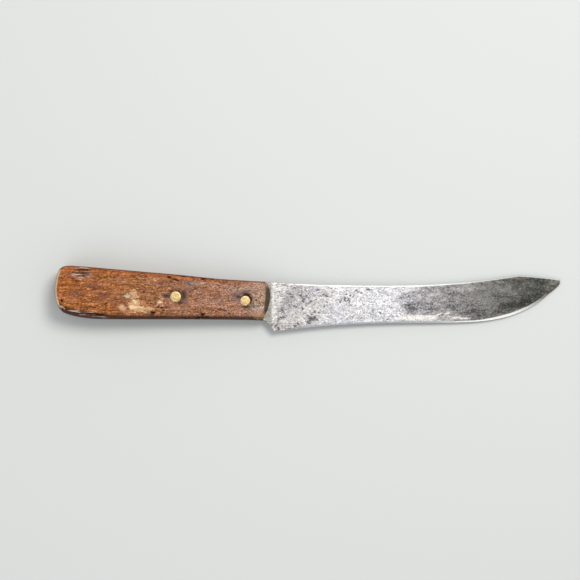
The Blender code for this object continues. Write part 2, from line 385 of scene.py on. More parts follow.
def disc_cutter(name, place, radius, low, high, sides=48):
    """A plain round disc between two heights, for boring a hole or sawing a slot."""
    profile = [(0, high), (radius, high), (radius, low), (0, low)]
    return turned(name, profile, place, lambda x, y, z: z, sides)


print("rivets stand", round(RIVETS["front"][0] - RIVETS["rear"][0], 1), "mm apart")

# %% Blade
x, y, to_edge, to_spine = blade_grid()
blade = pair_of_sheets("blade_steel", x, y, blade_height(x, y, to_edge, to_spine, 11),
                       -blade_height(x, y, to_edge, to_spine, 21))
bored(blade, [disc_cutter(f"{end}_drill", place, DRILL_RADIUS, -9, 9) for end, place in RIVETS.items()])
x, y, _ = drawn(blade)
station = np.clip(x, TANG_START, POINT_X)
to_edge = y - height_along(EDGE_RUNS, station)
to_spine = height_along(SPINE_RUNS, station) - y
steel_rim = np.minimum(to_edge, to_spine)
remember(blade, "to_edge", to_edge)
remember(blade, "to_spine", to_spine)
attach(blade, "root")
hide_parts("blade")
print("blade:", len(blade.data.polygons), "faces")

# %% [markdown]
# ## The handle
#
# The handle is one piece of hardwood. Its plan outline has four sides: spine side, belly side, butt and
# front. A subdivided box could be pushed into that shape, but a Coons patch fills the four sides exactly.
# It blends the two long sides, blends the two short ones, and takes away the blend of the corners. The
# height over that plan is the flat cheek, rounded down to the sides and butt and cut away at a slant
# towards the blade.

# %% Handle plan
def coons_patch(u, v, belly, spine, butt, front):
    """(1-v) belly + v spine + (1-u) butt + u front, less the straight blend of the four corners."""
    u, v = u[:, None, None], v[None, :, None]
    long_way = (1 - v) * belly[:, None] + v * spine[:, None]
    short_way = (1 - u) * butt[None] + u * front[None]
    corners = (1 - u) * (1 - v) * belly[0] + u * (1 - v) * belly[-1]
    corners = corners + (1 - u) * v * spine[0] + u * v * spine[-1]
    return long_way + short_way - corners


BUTT_TOP, BUTT_FOOT, BELLY_END = 7, 12, 18        # the knots of HANDLE_BACK where its sides meet


def handle_plan():
    """The patch and, for every point of it, the distances to its four sides."""
    t = np.linspace(0, 1, 350)
    u = t - 0.8 * np.sin(math.tau * t) / math.tau
    v = (1 - np.cos(np.linspace(0, math.pi, 118))) / 2
    spine = stretch(HANDLE_BACK, BUTT_TOP, 0, u)
    belly = stretch(HANDLE_BACK, BUTT_FOOT, BELLY_END, u)
    butt = stretch(HANDLE_BACK, BUTT_FOOT, BUTT_TOP, v)
    front = stretch(HANDLE_FRONT, 0, len(HANDLE_FRONT) - 1, v)
    plan = coons_patch(u, v, belly, spine, butt, front)
    sides = (spine[:, None], belly[:, None], butt[None], front[None])
    return plan[..., 0], plan[..., 1], [np.linalg.norm(plan - side, axis=-1) for side in sides]


plan_x, plan_y, away = handle_plan()
print("handle plan:", plan_x.shape, "points,", round(float(np.ptp(plan_x)), 1), "mm long")

# %% [markdown]
# ## Wear on the wood
#
# Use has rounded the handle unevenly, and the wood has split along its grain near the butt and the belly.
# The splits, holes and chips are listed ellipses, each with a depth. Where a rivet head sits lower
# than the wood, the bore's edge is worn as well.

# %% Splits and relief of the wood
SIDE_SHARE = 0.36             # how far down the rounding reaches, as a share of the cheek's height
FRONT_LOW, FRONT_SLOPE = 1.8, 1.45
HEAD_DISH = 0.22              # how much the wood is worn down round a rivet head
# x, y, half length, half width, turn in degrees, and depth
SPLITS = [(-107.5, 17.9, 5.6, 0.5, -2, 0.9), (-112, 16.3, 3.4, 0.35, -3, 0.35),
          (-105.5, 15.2, 5, 0.4, -2, 0.4), (-110, 13.6, 5, 0.35, -3, 0.35),
          (-106.5, 12.2, 4.6, 0.4, -4, 0.4), (-111.6, 11.0, 1.6, 0.3, -3, 0.4),
          (-99, -8.3, 6.2, 0.55, -6, 0.8), (-112, -7.6, 5, 0.4, -10, 0.5), (-86, -9.6, 7, 0.4, -1, 0.4),
          (-66, -7.4, 1.7, 0.8, 0, 1.4), (-56.6, 13.4, 1.8, 0.75, -15, 1.3),
          (-53.2, 12.0, 2.9, 0.5, -24, 0.5), (-47.7, 14.1, 2.2, 0.55, 0, 0.7),
          (-43, 13.7, 1.6, 0.5, 0, 0.7), (-36.4, 12.5, 2.0, 0.6, 0, 0.8), (-31.3, 12.3, 1.4, 0.5, 0, 0.8),
          (-36.7, -8.7, 1.4, 1.0, 0, 1.0), (-38.5, -10.4, 3.2, 0.8, 4, 0.9),
          (-34.4, -10.2, 1.6, 0.7, -8, 0.7), (-120.1, -0.4, 0.6, 1.2, 20, 0.5),
          (-63.2, -4.2, 0.7, 0.6, 0, 0.6), (-60.9, -4.6, 0.8, 0.6, 0, 0.7), (-60, -6.0, 0.7, 0.6, 0, 0.6),
          (-3.6, -10.7, 2.4, 0.5, 10, 0.6), (-97, 3.4, 5, 0.5, 0, 0.22), (-93, 1.9, 4, 0.4, 0, 0.2),
          (-50, -10.2, 5, 0.45, 0, 0.35)]
FAR_SPLITS = [SPLITS[number] for number in (6, 13, 17)]


def cheek_half(x):
    """Half the handle's thickness, which grows towards the butt."""
    return REST_HALF - SLOPE * x


def dent(x, y, ellipse):
    """1 in the middle of an ellipse, eased to 0 at its outline."""
    return 1 - ramp(way_out(x, y, ellipse), 0.2, 1.0)


def grain_relief(x, y, seed):
    """Fine ridges along the grain, a slow hollowing, and a rougher patch towards the butt's worn corner."""
    fine = 0.045 * relief_noise(x, y, 9, 0.55, seed) + 0.03 * relief_noise(x, y, 3.2, 0.33, seed + 1)
    return 0.10 * relief_noise(x, y, 24, 8, seed + 2) + fine * (1 + 1.2 * ramp(-x, 98, 106) * ramp(y, 8, 12))


print("splits and holes:", len(SPLITS), "the deepest", max(split[-1] for split in SPLITS), "mm")

# %% Handle height
def handle_height(x, y, away, seed, splits):
    """The cheek's height, rounded to the flat of the sides, cut back at the front, and worn."""
    spine, belly, butt, front = away
    full = cheek_half(x)
    narrow = 1 - ramp(x, -16, 0)
    low = full * SIDE_SHARE * narrow + FRONT_LOW * (1 - narrow)
    spine_width = 2.3 + 0.9 * ramp(-x, 70, 110) + 0.9 * ramp(x, -12, 1)
    belly_width = 2.9 + 2.0 * ramp(-x, 92, 116) + 1.0 * ramp(x, -12, 1)
    way = np.minimum(np.minimum(spine / spine_width, belly / belly_width), butt / 1.7)
    height = low + (full - low) * np.sqrt(1 - (1 - np.clip(way, 0, 1)) ** 2)
    worn = 0.16 + 0.5 * grain_relief(x, y, seed) + 0.5 * np.abs(grain_relief(x, y, seed + 3))
    height = height - np.clip(worn, 0, 1) * ramp(way, 0.05, 0.9)
    for *place, depth in splits:
        height = height - depth * dent(x, y, place)
    for place in RIVETS.values():
        height = height - HEAD_DISH * (1 - ramp(np.hypot(x - place[0], y - place[1]), 3.5, 4.6))
    slant = FRONT_LOW + front * FRONT_SLOPE
    return np.maximum(np.minimum(height, slant), np.minimum(low, FRONT_LOW))


upper = handle_height(plan_x, plan_y, away, 31, SPLITS)
lower = handle_height(plan_x, plan_y, away, 41, FAR_SPLITS)
resting = np.maximum(lower, cheek_half(plan_x) - 0.35)
lower = np.where(np.minimum(away[0], away[1]) > 3.2, resting, lower)
handle = pair_of_sheets("handle_wood", plan_x, plan_y, upper, -lower)
print("the handle is at most", round(float((upper + lower).max()), 2), "mm thick")

# %% [markdown]
# ## Slot and rivet holes
#
# A circular saw run in from the front leaves a slot that is open at the spine and the belly, with a round
# blind end. So the cutter here is that saw: a thin disc. Each rivet needs a hole right through and a wider,
# shallow bore at both ends for its heads.

# %% Cut the slot and the holes
SAW_RADIUS, SLOT_END, SAW_HEIGHT, SLOT_HALF = 60.0, -75.0, 2.8, 1.42
HEAD_THICK, HEAD_RECESS, HOLE_RADIUS, SEAT_GAP = 1.5, 0.08, 3.55, 0.25


def head_seat(place):
    """The height of the shelf in the wood that a rivet head rests on."""
    return cheek_half(place[0]) - HEAD_THICK - HEAD_RECESS


cutters = [disc_cutter("saw", (SLOT_END + SAW_RADIUS, SAW_HEIGHT), SAW_RADIUS, -SLOT_HALF, SLOT_HALF, 160)]
for end, place in RIVETS.items():
    seat = head_seat(place) - SEAT_GAP
    cutters.append(disc_cutter(f"{end}_hole", place, DRILL_RADIUS, -14, 14))
    cutters.append(disc_cutter(f"{end}_top", place, HOLE_RADIUS, seat, 14))
    cutters.append(disc_cutter(f"{end}_under", place, HOLE_RADIUS, -14, -seat))
bored(handle, cutters)
print("cutters used:", len(cutters))

# %% Distances on the handle
x, y, _ = drawn(handle)
back = stretch(HANDLE_BACK, 0, BUTT_TOP, np.linspace(0, 1, 60))[::-1]
belly = stretch(HANDLE_BACK, BUTT_FOOT, BELLY_END, np.linspace(0, 1, 60))
butt = stretch(HANDLE_BACK, BUTT_TOP, BUTT_FOOT, np.linspace(0, 1, 40))[::-1]
distances = {"to_spine": np.interp(x, *back.T) - y, "to_belly": y - np.interp(x, *belly.T),
             "to_butt": x - np.interp(y, *butt.T[::-1])}
wood_rim = np.minimum.reduce(list(distances.values()))
for name, distance in distances.items():
    remember(handle, name, distance)
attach(handle, "root")
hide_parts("handle")
print("handle:", len(handle.data.polygons), "faces")

# %% [markdown]
# ## Cutler's rivets
#
# Each rivet is two brass pieces: a tube with a head, and a shank with a head that is driven into the tube.
# The heads were hammered and then filed almost level with the wood. The front one sits a little to one side
# of its hole, so a dark gap shows. A lathe profile makes both halves, and a height rule slants the heads
# with the cheek, domes them and gives them their hammer marks.

# %% Rivets
HEADS = {"front": (3.05, -0.32, -0.28), "rear": (3.32, 0.0, 0.0)}     # radius, and the shift in its hole
BARREL, BORE, SHANK = 2.15, 1.65, 1.5


def rivet_half(end, kind, side):
    """Turn one half: its head faces the side it is driven from, and its barrel or shank points inwards."""
    radius, shift_x, shift_y = HEADS[end]
    place = (RIVETS[end][0] + shift_x, RIVETS[end][1] + shift_y)
    face, seat = cheek_half(place[0]) - HEAD_RECESS, head_seat(place)
    crown = [(radius * share, face) for share in (0.2, 0.4, 0.6, 0.75, 0.88)]
    rim = [(radius * 0.96, face - 0.06), (radius, face - 0.22), (radius, seat)]
    if kind == "female":
        inner = [(BARREL, seat), (BARREL, 1 - seat), (BORE, 1 - seat), (BORE, seat), (0, seat)]
    else:
        inner = [(SHANK, seat), (SHANK, 1.5 - seat), (0, 1.5 - seat)]
    profile = [(0, face)] + crown + rim + inner

    def relief(x, y, z):
        """Slant the head's face with the cheek, dome it, and mark it."""
        out = np.hypot(x - place[0], y - place[1]) / radius
        marks = 0.05 * relief_noise(x, y, 1.1, 1.0, 51) + 0.03 * relief_noise(x, y, 0.5, 0.45, 52)
        dome = 0.10 * (1 - out ** 2) * (side > 0) + marks * (out < 0.9)
        on_face = z > face - 0.3
        return side * (z + on_face * (dome - SLOPE * (x - place[0]) - 0.06))

    made = turned(f"{end}_rivet_{kind}_brass", profile, place, relief)
    if side < 0:
        made.data.flip_normals()
    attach(made, "root")
    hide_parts(f"{end}_rivet_{kind}")
    return made


rivets = [rivet_half(end, kind, side) for end in RIVETS for kind, side in (("female", 1), ("male", -1))]
print("rivets:", [piece.name for piece in rivets])

# %% [markdown]
# ## Writing shader maths as Python
#
# A finish is a graph of nodes. Placing every Math node by hand hides the idea, so a small class wraps a
# node's output and gives it the ordinary operators: `0.5 * grain + (1 - stain)` adds the nodes that work it
# out. Everything else, from noise to bump, goes through one method of the Finish class.

# %% Socket arithmetic
class Wire:
    """A node's output that can be added, multiplied and so on."""

    def __init__(self, finish, socket):
        self.finish, self.socket = finish, socket

    def math(self, operation, *others):
        """One Math node on this value and others."""
        return self.finish.node("ShaderNodeMath", {"operation": operation}, [self, *others])

    def __add__(self, other):
        return self.math("ADD", other)

    def __mul__(self, other):
        return self.math("MULTIPLY", other)

    __radd__, __rmul__ = __add__, __mul__

    def __sub__(self, other):
        return self.math("SUBTRACT", other)

    def __rsub__(self, other):
        return (self * -1.0) + other

    def __truediv__(self, other):
        return self.math("DIVIDE", other)

    def between(self, low, high):
        """0 below low, 1 above high, eased in between; low may be the larger of the two."""
        sockets = {"Value": self, "From Min": low, "From Max": high}
        return self.finish.node("ShaderNodeMapRange", {"interpolation_type": "SMOOTHSTEP"}, sockets)


print("operators:", [name for name in vars(Wire) if name.startswith("__") and callable(vars(Wire)[name])])

# %% The Finish class
class Finish:
    """A material made of nodes, and the colour that its coats have reached so far."""

    def __init__(self, name):
        self.material = bpy.data.materials.new(name)
        self.material.use_nodes = True
        self.tree = self.material.node_tree
        self.shader = self.tree.nodes["Principled BSDF"]
        self.colour = None

    def plug(self, socket, value):
        """Link a Wire to a socket, or set the socket's own number or colour."""
        if isinstance(value, Wire):
            self.tree.links.new(value.socket, socket)
        elif hasattr(socket.default_value, "__len__") and len(socket.default_value) == 4:
            socket.default_value = (*value[:3], 1.0)
        else:
            socket.default_value = value

    def node(self, kind, settings, sockets, output=0):
        """Add a node: set its properties first, then its inputs by name or by place, and return an output."""
        made = self.tree.nodes.new(kind)
        for key, value in settings.items():
            if key == "stops":
                ramp_colours(made.color_ramp, value)
            else:
                setattr(made, key, value)
        pairs = sockets.items() if isinstance(sockets, dict) else enumerate(sockets)
        for key, value in pairs:
            self.plug(made.inputs[key], value)
        return Wire(self, made.outputs[output])

    def drawing(self):
        """Object coordinates turned back into the knife's own directions, in millimetres."""
        metres = self.node("ShaderNodeTexCoord", {}, {}, "Object")
        turned_zero = (ZERO[0] * math.cos(TILT) - ZERO[2] * math.sin(TILT), ZERO[1],
                       ZERO[0] * math.sin(TILT) + ZERO[2] * math.cos(TILT))
        sockets = {"Vector": metres, "Location": [-part for part in turned_zero], "Rotation": (0, -TILT, 0),
                   "Scale": (1 / MM, 1 / MM, 1 / MM)}
        return self.node("ShaderNodeMapping", {}, sockets)

    def noise(self, place, scale, detail=4.0, roughness=0.55, distortion=0.0, shift=0.0, turn=0.0):
        """Fractal noise with its own scale along each direction, in features per millimetre."""
        spread = self.node("ShaderNodeMapping", {}, {"Vector": place, "Location": (shift, shift, shift),
                                                     "Rotation": (turn, 0.0, turn), "Scale": scale})
        sockets = {"Vector": spread, "Scale": 1.0, "Detail": detail, "Roughness": roughness,
                   "Distortion": distortion}
        return self.node("ShaderNodeTexNoise", {}, sockets)

    def gradient(self, share, stops):
        """A colour that runs through stops, pairs of a position and a screen colour."""
        return self.node("ShaderNodeValToRGB", {"stops": stops}, [share], "Color")

    def mix(self, share, a, b):
        """Blend two colours by a share from 0 to 1."""
        return self.node("ShaderNodeMix", {"data_type": "RGBA"}, {0: share, 6: a, 7: b}, 2)

    def coat(self, share, tint):
        """Lay a screen colour, or a colour made by nodes, over the colour so far, by a share from 0 to 1."""
        self.colour = self.mix(share, self.colour, tint if isinstance(tint, Wire) else paint(*tint))

    def shade(self, tone):
        """Multiply the colour so far by a tone that is 1 on average."""
        grey = self.node("ShaderNodeCombineColor", {}, [tone.math("MAXIMUM", 0.2)] * 3)
        settings = {"data_type": "RGBA", "blend_type": "MULTIPLY", "clamp_result": True}
        self.colour = self.node("ShaderNodeMix", settings, {0: 1.0, 6: self.colour, 7: grey}, 2)

    def remembered(self, name):
        """A number stored in the mesh by that name."""
        return self.node("ShaderNodeAttribute", {"attribute_name": name}, {}, "Fac")

    def split(self, place):
        """The x, y and z of a place."""
        parts = self.node("ShaderNodeSeparateXYZ", {}, [place])
        return [Wire(self, socket) for socket in parts.socket.node.outputs]

    def bump(self, height, strength, distance, normal=None):
        """Tilt the surface's normal, or one that is already tilted, by a height over a distance in metres."""
        sockets = {"Height": height, "Strength": strength, "Distance": distance}
        if normal is not None:
            sockets["Normal"] = normal
        return self.node("ShaderNodeBump", {}, sockets)

    def finish(self, **sockets):
        """Plug values into the shader, by their names with _ for a space, and return the material."""
        for name, value in sockets.items():
            self.plug(self.shader.inputs[name.replace("_", " ")], value)
        return self.material


def ramp_colours(colour_ramp, stops):
    """Give a colour ramp its stops."""
    while len(colour_ramp.elements) < len(stops):
        colour_ramp.elements.new(0.5)
    for element, (position, screen_colour) in zip(colour_ramp.elements, stops):
        element.position = position
        element.color = (*paint(*screen_colour), 1.0)


def paint(red, green, blue):
    """A screen colour from 0 to 255, as the linear light that Blender works in."""
    share = np.array([red, green, blue]) / 255
    linear = np.where(share <= 0.04045, share / 12.92, ((share + 0.055) / 1.055) ** 2.4)
    return tuple(float(part) for part in linear)


print("middle grey in linear light:", [round(part, 3) for part in paint(128, 128, 128)])

# %% [markdown]
# ## Marks of use on the steel
#
# Dark spots, rust and wiped streaks stand in particular places on an old blade. Noise alone would scatter
# them anywhere, and a shader that worked out a hundred ellipses would be too long to run. So each mark is
# a listed ellipse with a torn outline, and a number for each kind of mark is stored in the mesh.

# %% Marks of use on the steel
# each kind: the shares of an ellipse where it starts and ends to fade, its raggedness in mm, its ellipses
STEEL_MARKS = {
    "smear": (0.2, 1.25, 2.0, [
        (22.6, 0.5, 1.6, 5.2), (19, -3.6, 3, 2), (27.4, -1.4, 3.2, 1.3), (14.2, -2, 4.5, 3, 20),
        (27.6, -11, 3.6, 2.8, -35), (10.3, -10.4, 3.4, 1.1, 5), (31, 6.0, 3.0, 1.0),
        (20, -14.6, 1.7, 2.2, 20), (24.4, -15.4, 3.4, 0.8, 4), (37, 2.5, 2.8, 1.1),
        (48.0, 1.0, 3.0, 2.4, 30), (56, 5.0, 2.0, 1.2), (62.5, 6.0, 2.0, 0.9), (84, 0, 4, 5),
        (92, -3, 6, 4.5), (6.2, -15.6, 1.6, 2.2, -20), (24, 3.5, 7, 4.6), (10, -6, 4, 3),
        (17.4, 7.2, 3.4, 1.6), (33, 3.6, 5, 2.4), (16, 2, 3, 4)]),
    "spot": (0.3, 1.2, 0.45, [
        (18.0, -3.6, 0.9, 0.7), (22.6, -5.4, 0.5, 2.0), (32.6, -7.8, 0.9, 0.7), (30.2, -7.0, 0.7, 1.4),
        (27.4, -1.2, 1.3, 0.5), (14.3, -1.8, 0.5, 0.5), (30.0, -10.6, 0.9, 1.5, 30),
        (27.4, -12.2, 1.2, 0.8), (20.2, -13.9, 0.7, 1.6, 15), (9.8, -10.2, 1.0, 0.6),
        (12.2, -10.8, 0.7, 0.4), (10.6, -16.0, 0.5, 0.5), (28.0, -11.2, 2.4, 1.5, -35),
        (26.0, -13.4, 1.2, 0.9), (10.8, -10.4, 2.6, 0.7, 5), (6.4, -15.6, 0.9, 1.5, -40),
        (8.4, -16.4, 1.1, 0.7), (10.8, -17.0, 0.8, 0.5), (5.0, -14.6, 0.8, 1.7, -40),
        (8.6, -17.4, 1.4, 0.6, 5), (7.4, -14.8, 0.6, 0.7), (23.2, -0.8, 0.8, 1.4), (21.6, 2.6, 0.9, 0.6),
        (25.2, 2.6, 1.3, 0.5), (29.6, 2.4, 1.3, 0.5), (19.0, -4.4, 1.2, 0.6), (24.6, -3.6, 0.7, 0.6),
        (31.8, 6.0, 1.8, 0.7), (28.4, -8.8, 0.9, 0.7, 20), (31.6, -11.6, 0.9, 0.8),
        (18.4, -15.6, 1.5, 0.5, 5), (26.6, -14.2, 1.3, 0.5, 10), (48.8, 3.2, 0.8, 0.7),
        (50.6, -0.6, 0.6, 0.9), (33.9, 2.3, 0.6, 0.5), (37.0, 2.5, 1.0, 0.5), (37.6, -1.5, 0.6, 0.6),
        (35.5, -4.2, 0.7, 0.5), (45.3, -1.2, 0.6, 1.1), (48.0, 0.6, 0.5, 1.5, 10), (51.2, 2.4, 0.9, 0.9),
        (52.8, 1.8, 0.5, 0.9), (55.0, 5.4, 0.9, 0.6), (58.0, 4.2, 0.9, 0.8), (61.8, 6.2, 1.0, 0.7),
        (67.9, 5.0, 0.6, 0.6), (73.4, -11.6, 0.8, 0.5), (7.4, -15.2, 0.6, 0.9), (24.0, 0.2, 0.8, 0.6),
        (17.0, 2.8, 0.6, 0.5), (40.2, 7.0, 1.0, 0.5), (63.5, -8.6, 0.8, 0.5)]),
    "rust": (0.3, 1.2, 0.9, [
        (19.4, 7.9, 5.0, 0.9, -4), (5.9, -15.6, 1.5, 2.4), (133.8, 10.2, 3.6, 1.0, 8),
        (78.6, -12.1, 6, 0.6, 1), (151, 12.8, 6, 0.8), (141, -9.0, 4.4, 0.7, 16),
        (152, -5.6, 3.2, 0.8, 30), (168.0, 2.9, 2.0, 1.1, 45), (172, 7.0, 1.8, 1.1, 45),
        (92.4, -11.8, 4.4, 0.5), (116, 9.8, 5, 0.8, 4)]),
    "light": (0.1, 1.25, 3.0, [
        (140, 7.4, 11, 3.2, 6), (119, 6.0, 13, 2.8), (103, 3.0, 9, 1.6), (128, 0.5, 8, 1.4),
        (150, 4.4, 6, 1.6, 16)]),
    "cool": (0.3, 1.25, 2.4, [(50, -12.6, 15, 2.2, 2), (30, 5.0, 5, 2.4), (44, -6, 9, 3.5)]),
    "shadow": (0.1, 1.3, 3.0, [
        (157, -1.5, 12, 3.4, 28), (146, -4.6, 9, 2.6, 14), (88, -4.6, 6, 3.6), (127, -6.5, 7, 1.6, 4),
        (164, 10.6, 5, 1.4)]),
    "cream": (0.4, 1.2, 1.2, [
        (84, -11.0, 5, 1.5), (91, -10.6, 10, 1.9), (100, -10.2, 5, 1.6, 5), (104.0, -8.6, 3.2, 0.9, 28),
        (109.4, -8.2, 2.4, 0.7, 10), (117, -10.8, 7, 1.0)])}


def mark_piece(piece, marks, rim, far_shift, wrap, kept=()):
    """Remember each kind of mark on a piece, faded out at its rim, so that no mark runs down a side.

    The far side gets the same marks at other places along it, except for the kinds that are kept."""
    x, y, z = drawn(piece)
    elsewhere = np.where(z < -0.05, wrap * ((x / wrap + far_shift) % 1), x)
    for seed, (name, (inner, outer, ragged, ellipses)) in enumerate(marks.items()):
        along = x if name in kept else elsewhere
        share = blots(along, y, ellipses, inner, outer, ragged, 60 + 4 * seed)
        remember(piece, name, share * ramp(rim, 0.0, 0.7))


mark_piece(blade, STEEL_MARKS, steel_rim, 0.37, 177.0)
print("marks on the steel:", {name: len(mark[3]) for name, mark in STEEL_MARKS.items()})

# %% [markdown]
# ## Steel, from bright to grey
#
# The blade is bright and scoured for its first half, and goes grey and then almost black towards the point,
# where it was used most and wiped least. A ready-made texture of steel would repeat and would not know
# where the edge is. Instead the grey is a share worked out from the place on the blade. Everything after it
# is a coat: a colour laid over the last one by a share from 0 to 1.

# %% Steel from bright to grey
def steel_places(steel):
    """Where a point lies on the blade, and noises from clouds of 20 mm down to grit of 1 mm."""
    at = SimpleNamespace(place=steel.drawing())
    at.x, at.y, _ = steel.split(at.place)
    at.cloud = steel.noise(at.place, (0.05, 0.09, 0.05), 5.0, 0.6)
    at.blotch = steel.noise(at.place, (0.22, 0.30, 0.2), 5.0, 0.62, shift=7.0)
    at.mottle = steel.noise(at.place, (0.40, 0.58, 0.5), 3.0, 0.65, 0.8, 15.0, turn=0.5)
    at.grit = steel.noise(at.place, (0.90, 1.10, 1.0), 4.0, 0.72, 0.5, 3.0, turn=0.9)
    at.scour = steel.noise(at.place, (0.12, 3.2, 0.5), 4.0, 0.6, shift=11.0)
    at.fleck = steel.noise(at.place, (0.75, 0.95, 0.8), 3.0, 0.55, 0.6, 23.0, turn=0.7)
    return at


def bright_to_grey(steel, at):
    """Bright metal, then grey beyond a ragged border that lies further on at the spine and at the edge."""
    bright = steel.gradient((at.x + 2.0) / 100.0, [
        (0.0, (194, 189, 186)), (0.25, (196, 193, 191)), (0.45, (208, 206, 206)), (0.75, (208, 207, 210)),
        (1.0, (200, 197, 197))])
    grey = steel.gradient((at.x - 85.0) / 92.0, [
        (0.0, (156, 154, 156)), (0.25, (134, 131, 131)), (0.5, (102, 101, 97)), (0.72, (70, 70, 65)),
        (0.88, (62, 64, 58)), (1.0, (100, 98, 86))])
    from_spine = at.y.between(3.0, 11.0)
    near_edge = at.y.between(-8.6, -9.8)
    border = 80.0 + 16.0 * from_spine + 24.0 * near_edge
    at.grey = (at.x + 34.0 * (at.cloud - 0.5) + 22.0 * (at.blotch - 0.5) - border).between(-7.0, 15.0)
    steel.colour = steel.mix(at.grey, bright, grey)


steel = Finish("old_carbon_steel")
on_blade = steel_places(steel)
bright_to_grey(steel, on_blade)
print("steel so far:", len(steel.tree.nodes), "nodes")

# %% [markdown]
# ## Wear on the steel
#
# The spots and smears placed by hand come first, with small specks from noise between them. Then one tone
# makes all of it lighter and darker in grains of several sizes, which is what turns flat colours into worn
# metal. Rust, a cool sheen and the cream streaks that a cloth leaves lie on top, so that they keep their
# own colour.

# %% Spots, specks, tone and stains
def steel_wear(steel, at):
    """Smears, spots and specks, then the tone of every grain together, then the stains."""
    x, blotch, mottle, grit, scour = at.x, at.blotch, at.mottle, at.grit, at.scour
    smear = steel.remembered("smear") * blotch.between(0.32, 0.52)
    steel.coat(smear * 0.68, (136, 132, 140))
    at.spot = steel.remembered("spot")
    steel.coat(at.spot * (0.6 + 0.8 * mottle), (66, 60, 66))
    at.specks = (at.fleck + 0.10 * smear).between(0.575, 0.645) * blotch.between(0.36, 0.54)
    steel.coat(at.specks * 0.8, (104, 98, 104))

    pale = grit.between(0.55, 0.72)
    drift = steel.noise(at.place, (0.07, 0.26, 0.2), 4.0, 0.62, 0.5, 29.0)
    shadowed = steel.remembered("shadow") * 0.55
    glint = steel.mix(at.grey, paint(236, 233, 226), paint(152, 149, 142))
    steel.coat(pale * 0.3, glint)
    fine = steel.noise(at.place, (1.5, 1.9, 1.6), 2.0, 0.6, 0.3, 33.0, turn=0.3)
    tone = 1.04 + (2.0 + 2.2 * at.grey) * (grit - 0.5) + 2.0 * (mottle - 0.5) + 1.6 * (fine - 0.5)
    tone = tone + 0.9 * (scour - 0.5) + 0.9 * (blotch - 0.5)
    tone = tone + (0.6 + 2.2 * at.grey) * (drift - 0.5) - shadowed + steel.remembered("light") * 0.28
    steel.shade(tone)

    at.rust = steel.remembered("rust") * (0.25 + 0.75 * at.fleck.between(0.40, 0.62))
    steel.coat(at.rust * 0.5, (146, 116, 110))
    steel.coat(steel.remembered("cool") * 0.26, (186, 186, 208))
    cream = steel.remembered("cream")
    steel.coat(cream * (0.35 + 0.65 * grit.between(0.35, 0.6)) * 0.8, (246, 240, 230))


steel_wear(steel, on_blade)
print("steel so far:", len(steel.tree.nodes), "nodes")

# %% [markdown]
# ## Edge, spine and tang
#
# The whetted bevel is polished bright, and its bright line is also a painted highlight. The bright line along
# the spine's rounded corner is a painted highlight. The steel beside the wood is painted darker, and the tang
# inside the slot is never cleaned. These follow the outline, so they are worked out from the stored distances
# to edge and spine, and not from x and y.

# %% Edge, spine and tang, and the whole steel
def steel_borders(steel, at):
    """Polish and painted highlight on the edge, painted spine highlight, dark strip and run-out by the wood,
    dark tang.
    """
    x, blotch, mottle = at.x, at.blotch, at.mottle
    to_edge, to_spine = steel.remembered("to_edge"), steel.remembered("to_spine")
    wobble = 0.7 * (blotch - 0.5)
    width = 0.9 + 0.8 * x.between(125.0, 150.0) + wobble
    at.whetted = (to_edge / width).between(1.15, 0.7) * x.between(12.0, 26.0) * x.between(172.0, 160.0)
    # the bevel's own polish, plus a painted highlight along the edge
    edge_polish_and_highlight = steel.mix(x.between(100.0, 125.0), paint(206, 208, 214), paint(252, 252, 246))
    steel.coat(at.whetted * (0.9 - 0.4 * x.between(148.0, 166.0)), edge_polish_and_highlight)
    # painted highlight along the spine's rounded corner
    spine_highlight = (to_spine + wobble).between(1.1, 0.35) * x.between(12.0, 24.0)
    steel.coat(spine_highlight * (0.85 - 0.35 * x.between(104.0, 130.0)), (236, 242, 238))
    # a darker strip on the steel along the front of the wood
    beside_wood = x.between(5.2, 3.4) * x.between(-4.0, 0.0) * (0.5 + mottle)
    steel.coat(beside_wood * 0.6, (112, 112, 98))
    run_out = x.between(4.4, 5.2) * x.between(6.6, 5.6)
    steel.coat(run_out * to_spine.between(0.5, 4.0) * 0.3, (236, 232, 228))
    at.hidden = x.between(0.0, -2.0)
    steel.coat(at.hidden * (0.7 + 0.3 * mottle), (58, 46, 38))


def steel_surface(steel, at):
    """Rougher and less metallic where it is grey, spotted or hidden, and pitted at the specks and spots."""
    grey, grit, spot = at.grey, at.grit, at.spot
    rough = 0.36 + 0.16 * grey + 0.2 * at.hidden + 0.25 * (grit - 0.5) + 0.18 * spot - 0.08 * at.whetted
    metallic = 0.88 - 0.38 * grey * (1 - at.whetted) - 0.3 * spot - 0.3 * at.rust - 0.4 * at.hidden
    scoured = steel.bump(at.scour * 0.5 + grit, 0.22, 0.0001)
    pitted = steel.bump(1 - (at.specks + spot).math("MINIMUM", 1.0), 0.35, 0.00012, scoured)
    return steel.finish(Base_Color=steel.colour, Roughness=rough, Metallic=metallic, Normal=pitted)


steel_borders(steel, on_blade)
blade.data.materials.clear()
blade.data.materials.append(steel_surface(steel, on_blade))
print("steel:", len(steel.tree.nodes), "nodes")
